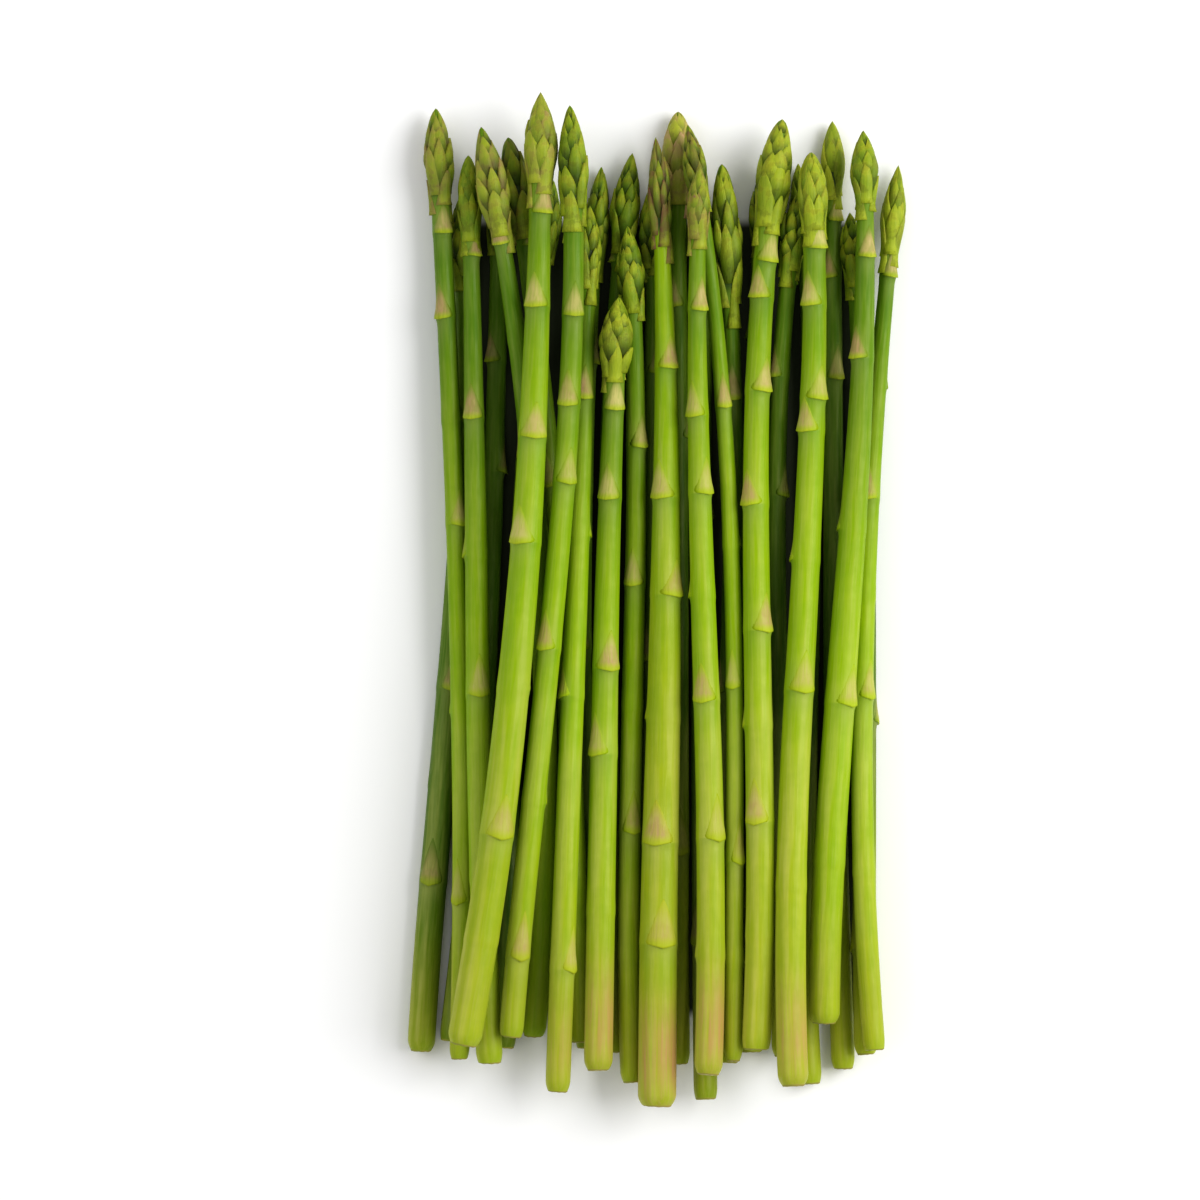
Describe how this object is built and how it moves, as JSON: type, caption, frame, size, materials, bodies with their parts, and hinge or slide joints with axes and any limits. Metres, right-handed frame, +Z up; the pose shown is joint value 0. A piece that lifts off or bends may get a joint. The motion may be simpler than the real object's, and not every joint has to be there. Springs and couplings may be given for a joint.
{
  "type": "bundle of asparagus",
  "caption": "Loose bundle of fresh green asparagus spears lying flat side by side, tips one way, with pointed scaly heads, small triangular bracts and cut butts.",
  "frame": {"origin": "middle of the bundle's box seen from above, on the surface that it lies on", "axes": "+Y along the spears towards their tips, +X across the bundle, +Z up"},
  "size_m": [0.123, 0.2496, 0.0282],
  "materials": {
    "deep_green_skin": "satin waxy plant skin, mid to deep green, for the spears that lie lower",
    "bright_green_skin": "satin waxy plant skin, bright yellow-green, for the spears that lie on top"
  },
  "bodies": {
    "root": {"spear_01": "deep_green_skin", "spear_02": "deep_green_skin", "spear_03": "deep_green_skin", "spear_04": "deep_green_skin", "spear_05": "deep_green_skin", "spear_06": "deep_green_skin", "spear_07": "deep_green_skin", "spear_08": "deep_green_skin", "spear_09": "deep_green_skin", "spear_10": "deep_green_skin", "spear_11": "deep_green_skin", "spear_12": "deep_green_skin", "spear_13": "deep_green_skin", "spear_14": "deep_green_skin", "spear_15": "bright_green_skin", "spear_16": "bright_green_skin", "spear_17": "bright_green_skin", "spear_18": "bright_green_skin", "spear_19": "bright_green_skin", "spear_20": "bright_green_skin", "spear_21": "bright_green_skin", "spear_22": "bright_green_skin", "spear_23": "bright_green_skin", "spear_24": "bright_green_skin", "spear_25": "bright_green_skin", "spear_26": "bright_green_skin", "spear_27": "bright_green_skin", "spear_28": "bright_green_skin", "spear_29": "bright_green_skin", "spear_30": "bright_green_skin"}
  },
  "joints": []
}
